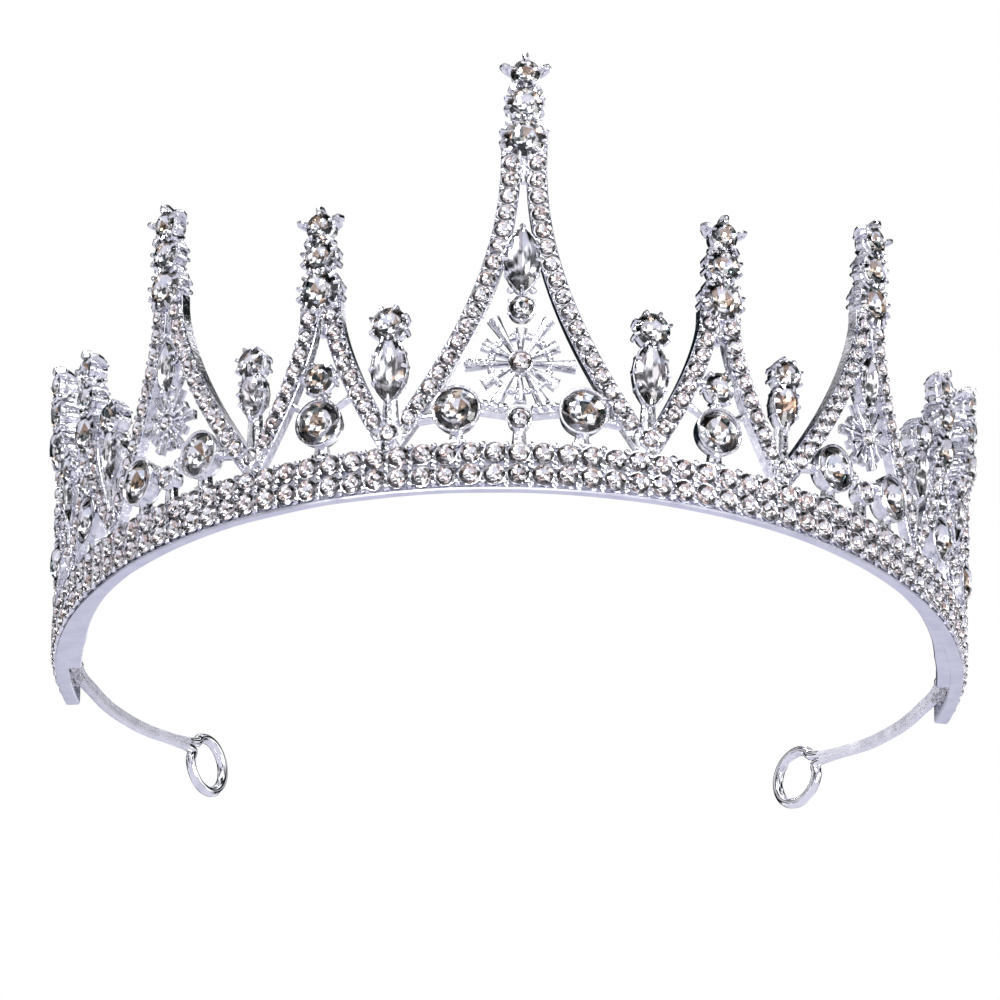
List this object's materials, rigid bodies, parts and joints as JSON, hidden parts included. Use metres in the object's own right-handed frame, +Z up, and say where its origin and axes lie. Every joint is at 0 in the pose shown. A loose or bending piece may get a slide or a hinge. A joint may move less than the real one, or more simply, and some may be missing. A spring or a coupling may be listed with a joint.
{
  "type": "bridal tiara",
  "caption": "Tall jewelled bridal tiara: a curved stone-set band carrying pointed arches, starbursts and finials, with bendable side arms ending in eyes.",
  "frame": {"origin": "middle of the bounding box, in the plane that the band's lower edge rests on", "axes": "+X to the wearer's left as seen from the front (to the viewer's right), front of the tiara towards -Y, +Z up"},
  "size_m": [0.1514, 0.1404, 0.0733],
  "materials": {
    "casting": "bright silver plating, polished",
    "wire": "silver-plated wire, smooth",
    "crystal": "clear faceted glass with a foil back"
  },
  "bodies": {
    "root": {"arch_1_centre": "casting", "arch_2_left": "casting", "arch_2_right": "casting", "arch_3_left": "casting", "arch_3_right": "casting", "arch_4_left": "casting", "arch_4_right": "casting", "arch_5_left": "casting", "arch_5_right": "casting", "band": "casting", "bezel_stone_1_left": "crystal", "bezel_stone_1_right": "crystal", "bezel_stone_2_left": "crystal", "bezel_stone_2_right": "crystal", "bezel_stone_3_back_left": "crystal", "bezel_stone_3_back_right": "crystal", "bezel_stone_3_front_left": "crystal", "bezel_stone_3_front_right": "crystal", "bezel_stone_4_left": "crystal", "bezel_stone_4_right": "crystal", "bezel_stone_5_left": "crystal", "bezel_stone_5_right": "crystal", "finial_1_left": "casting", "finial_1_right": "casting", "finial_1_stone_left": "crystal", "finial_1_stone_right": "crystal", "finial_2_left": "casting", "finial_2_right": "casting", "finial_2_stone_left": "crystal", "finial_2_stone_right": "crystal", "finial_3_left": "casting", "finial_3_right": "casting", "finial_3_stone_left": "crystal", "finial_3_stone_right": "crystal", "finial_4_left": "casting", "finial_4_right": "casting", "finial_4_stone_left": "crystal", "finial_4_stone_right": "crystal", "left_arm_anchor": "wire", "marquise_stone_1_centre": "crystal", "marquise_stone_3_left": "crystal", "marquise_stone_3_right": "crystal", "right_arm_anchor": "wire", "spire_stone_1_centre": "crystal", "spire_stone_2_left": "crystal", "spire_stone_2_right": "crystal", "spire_stone_3_left": "crystal", "spire_stone_3_right": "crystal", "spire_stone_4_left": "crystal", "spire_stone_4_right": "crystal", "spire_stone_5_left": "crystal", "spire_stone_5_right": "crystal", "starburst_1_centre": "casting", "starburst_3_left": "casting", "starburst_3_right": "casting"},
    "left_arm": {"left_arm": "wire"},
    "right_arm": {"right_arm": "wire"}
  },
  "joints": [
    {"name": "left_arm_bend", "type": "hinge", "parent": "root", "child": "left_arm", "pos_m": [-0.0701, 0.0172, 0.002], "axis": [0, 0, -1], "range_deg": [-6, 15]},
    {"name": "right_arm_bend", "type": "hinge", "parent": "root", "child": "right_arm", "pos_m": [0.0701, 0.0172, 0.002], "axis": [0, 0, 1], "range_deg": [-6, 15]}
  ]
}
